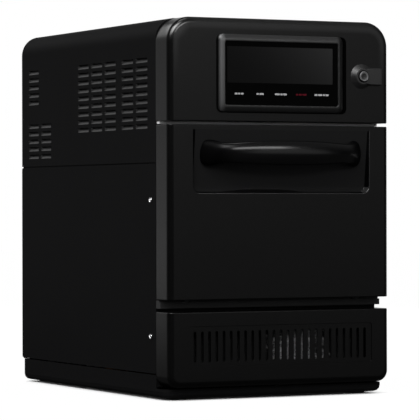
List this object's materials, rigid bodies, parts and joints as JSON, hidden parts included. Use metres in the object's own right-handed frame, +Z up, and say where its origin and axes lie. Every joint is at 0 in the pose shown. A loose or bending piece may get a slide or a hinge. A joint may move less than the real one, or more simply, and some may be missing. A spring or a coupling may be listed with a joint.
{
  "type": "speed oven",
  "caption": "Tall black countertop speed oven with a drop-down door, arched handle, touch display, power button, side louvres and a low air intake.",
  "frame": {"origin": "centre of the whole object's footprint, on the surface the feet stand on", "axes": "+X to the right seen from the front, +Y from the door towards the back, +Z up"},
  "size_m": [0.4002, 0.6496, 0.6],
  "materials": {
    "black_coat": "fine satin powder coat",
    "black_moulding": "satin moulded",
    "gloss_black": "gloss",
    "glass_black": "polished, printed black behind",
    "rubber": "matt",
    "stainless": "brushed",
    "galvanised": "zinc coated sheet",
    "bright_metal": "bright plated",
    "aluminium": "mill finish",
    "insulation": "mineral fibre mat",
    "seal": "matt",
    "ceramic": "satin glazed ceramic",
    "circuit_board": "solder mask",
    "dark_plastic": "matt moulded",
    "copper_coil": "varnished winding",
    "heater_alloy": "heat-darkened tube"
  },
  "bodies": {
    "casing": {"upper_cover": "black_coat", "left_side_panel": "black_coat", "right_side_panel": "black_coat", "rear_panel": "black_coat", "base_pan": "black_coat", "front_left_foot": "rubber", "front_right_foot": "rubber", "rear_left_foot": "rubber", "rear_right_foot": "rubber", "sill_bar": "black_coat", "control_head": "black_moulding", "lower_front_panel": "black_moulding", "left_lower_side_screw": "bright_metal", "left_upper_side_screw": "bright_metal", "right_lower_side_screw": "bright_metal", "right_upper_side_screw": "bright_metal", "front_frame": "galvanised", "lower_deck": "galvanised", "upper_deck": "galvanised", "display_bezel": "black_moulding", "display_glass": "glass_black", "display_module": "dark_plastic", "control_board": "circuit_board", "power_button_housing": "bright_metal", "power_button_nut": "bright_metal", "power_switch": "dark_plastic", "left_hinge_arm": "galvanised", "right_hinge_arm": "galvanised", "left_interlock_switch": "dark_plastic", "right_interlock_switch": "dark_plastic", "cavity_box": "stainless", "cavity_jacket": "insulation", "cooking_tray": "stainless", "ceramic_floor": "ceramic", "rear_baffle": "stainless", "heating_element": "heater_alloy", "blower_motor": "galvanised", "stirrer_motor": "galvanised", "waveguide": "aluminium", "magnetron": "aluminium", "hv_transformer": "copper_coil", "hv_capacitor": "aluminium", "power_board": "circuit_board", "cooling_fan_frame": "dark_plastic", "air_filter": "aluminium", "terminal_block": "dark_plastic", "cable_gland": "dark_plastic"},
    "door": {"door_shell": "black_moulding", "door_handle": "gloss_black", "door_liner": "stainless", "door_insulation": "insulation", "door_seal": "seal", "left_interlock_tongue": "bright_metal", "right_interlock_tongue": "bright_metal", "left_hinge_pin": "bright_metal", "right_hinge_pin": "bright_metal"},
    "power_button": {"power_button_cap": "gloss_black"},
    "blower": {"blower_wheel": "stainless"},
    "stirrer": {"stirrer_antenna": "aluminium"},
    "cooling_fan": {"cooling_fan_impeller": "dark_plastic"}
  },
  "joints": [
    {"name": "door_hinge", "type": "hinge", "parent": "casing", "child": "door", "pos_m": [0, -0.2768, 0.165], "axis": [1, 0, 0], "range_deg": [0, 90]},
    {"name": "power_button_press", "type": "slide", "parent": "casing", "child": "power_button", "axis": [0, 1, 0], "range_m": [0, 0.0018], "stiffness_N_per_m": 800},
    {"name": "blower_spin", "type": "hinge", "parent": "casing", "child": "blower", "pos_m": [0, 0.1232, 0.291], "axis": [0, 1, 0], "continuous": true},
    {"name": "stirrer_spin", "type": "hinge", "parent": "casing", "child": "stirrer", "pos_m": [0, -0.0588, 0.1985], "axis": [0, 0, 1], "continuous": true},
    {"name": "cooling_fan_spin", "type": "hinge", "parent": "casing", "child": "cooling_fan", "pos_m": [0, -0.1788, 0.0548], "axis": [0, 1, 0], "continuous": true}
  ]
}
